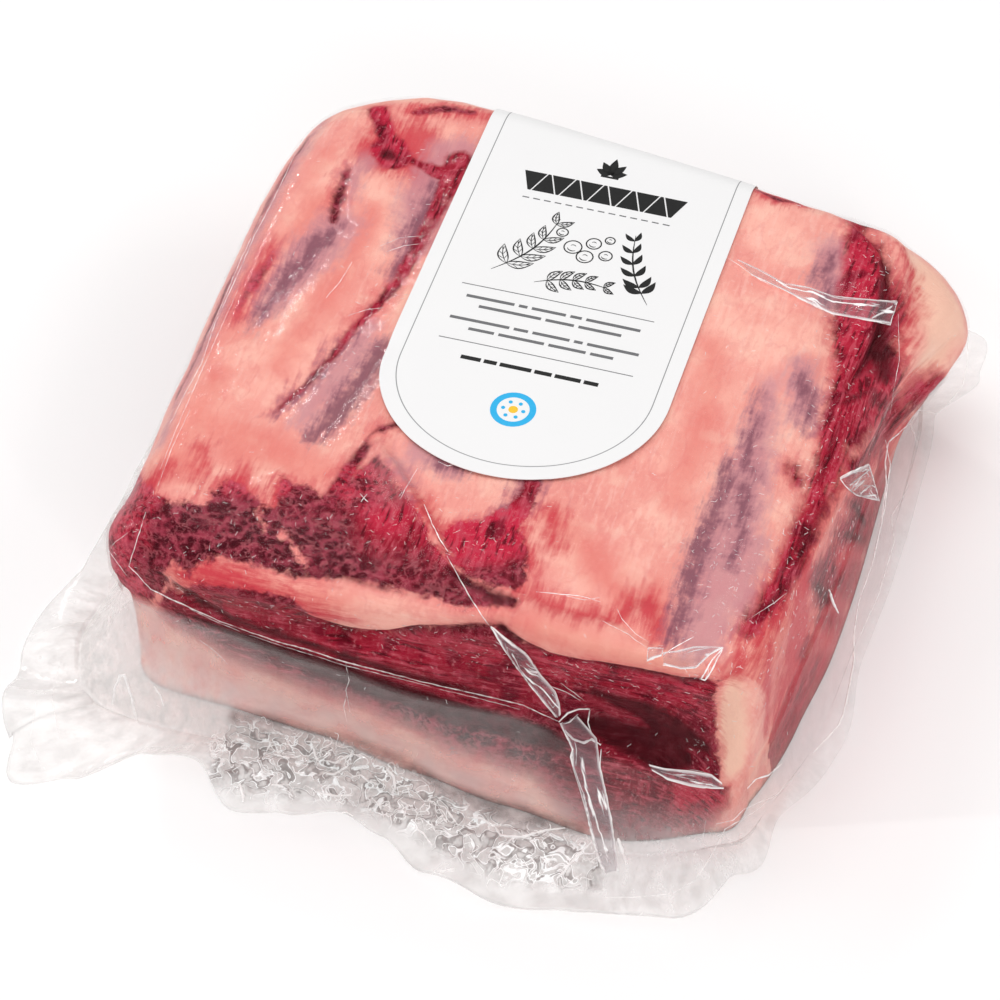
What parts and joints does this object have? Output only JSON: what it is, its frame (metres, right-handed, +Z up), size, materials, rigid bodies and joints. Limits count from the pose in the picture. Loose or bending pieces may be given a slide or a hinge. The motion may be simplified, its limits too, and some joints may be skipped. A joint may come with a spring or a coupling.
{
  "type": "vacuum-packed raw beef rib-eye block",
  "caption": "Square block of raw beef rib-eye in a clear vacuum bag with a slack crinkled flange, and a white round-ended label folded over its back edge.",
  "frame": {"origin": "middle of the block's flat underside, on what it stands on", "axes": "+Z up through the block, -Y out of the front face that the bag's slack end lies before, +X to the right side with the fat lobe"},
  "size_m": [0.2859, 0.3028, 0.0836],
  "materials": {
    "vacuum_bag": "clear glossy film tight over marbled raw beef and salmon-pink fat, hazy and crinkled where it is slack",
    "label": "satin white coated label stock with a thin grey line inside its edge"
  },
  "bodies": {
    "root": {"vacuum_bag": "vacuum_bag", "label": "label"}
  },
  "joints": []
}
